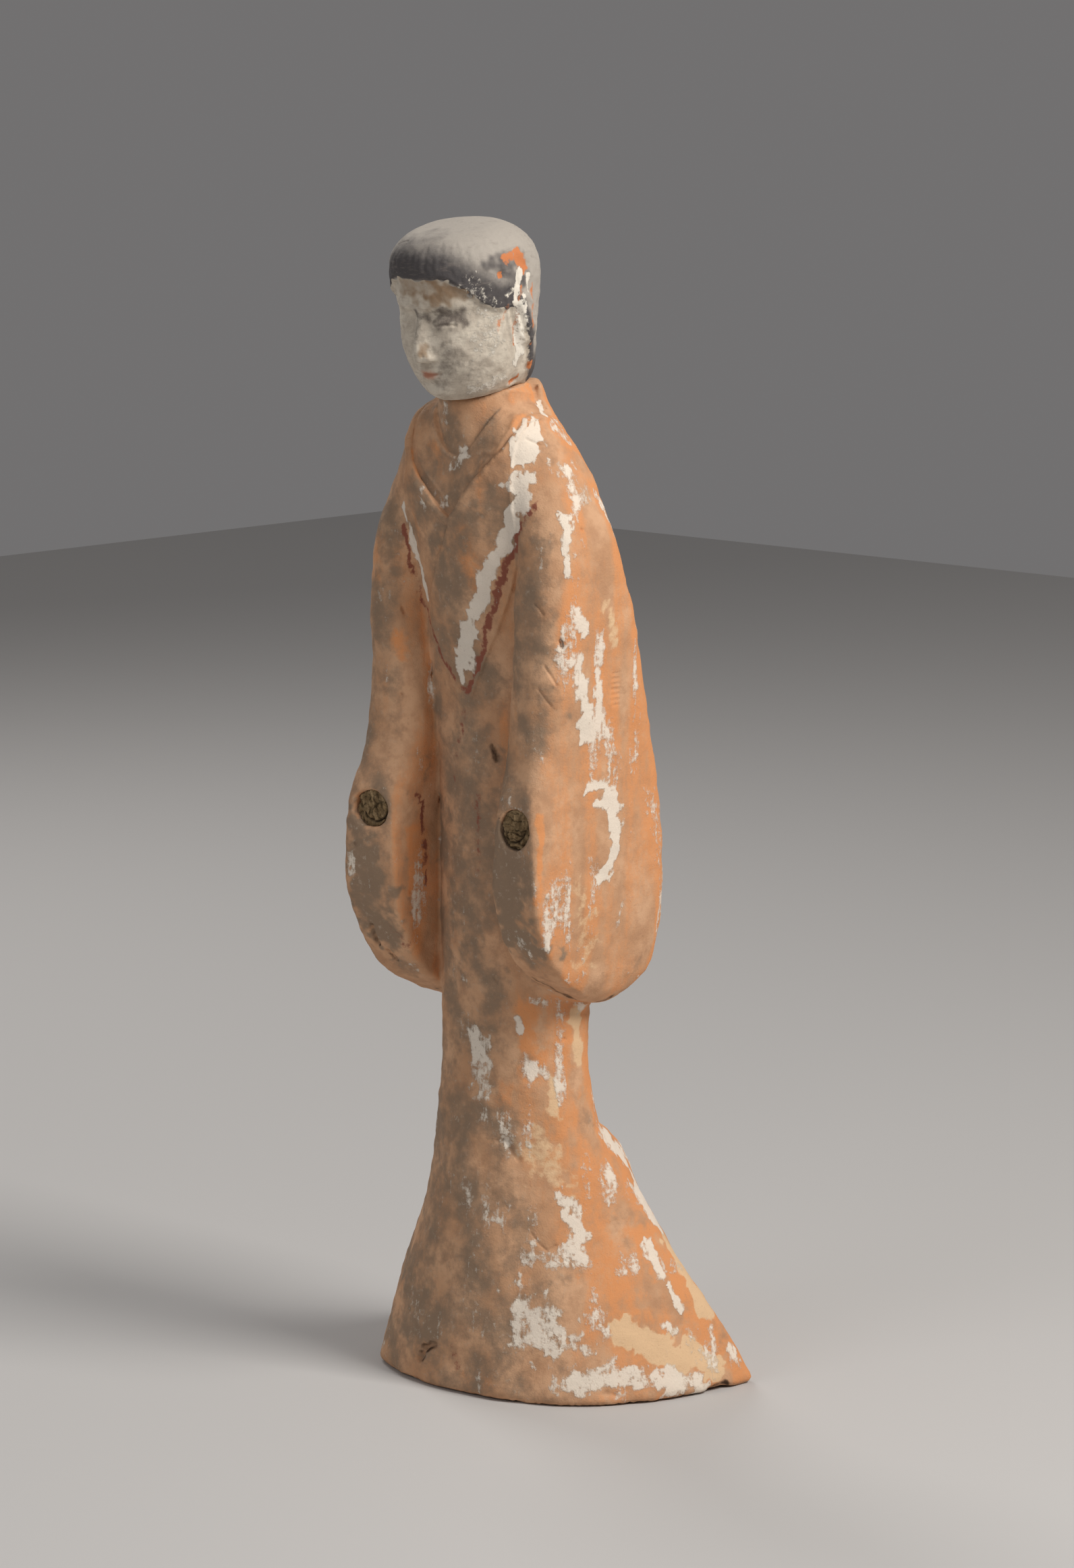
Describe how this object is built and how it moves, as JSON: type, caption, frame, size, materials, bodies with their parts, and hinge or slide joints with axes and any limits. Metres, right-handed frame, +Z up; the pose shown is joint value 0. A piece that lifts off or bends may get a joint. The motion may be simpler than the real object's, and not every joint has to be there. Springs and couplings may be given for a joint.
{
  "type": "painted pottery court lady figure",
  "caption": "Free-standing hollow pottery figure of a court lady in a long robe with hanging sleeves and a flared skirt; a painted statuette for display.",
  "frame": {"origin": "middle of the figure's footprint box, on the plane its hem stands on", "axes": "+Z up along the standing figure; she faces -Y; +X is her own left"},
  "size_m": [0.224, 0.1632, 0.638],
  "materials": {
    "pottery": "dry unglazed orange-buff pottery with worn paint and soil",
    "head_paint": "worn white and grey slip on pottery, dry",
    "earth": "packed dried earth, rough"
  },
  "bodies": {
    "root": {"body": "pottery", "head": "head_paint", "left_hand_socket_fill": "earth", "right_hand_socket_fill": "earth"}
  },
  "joints": []
}
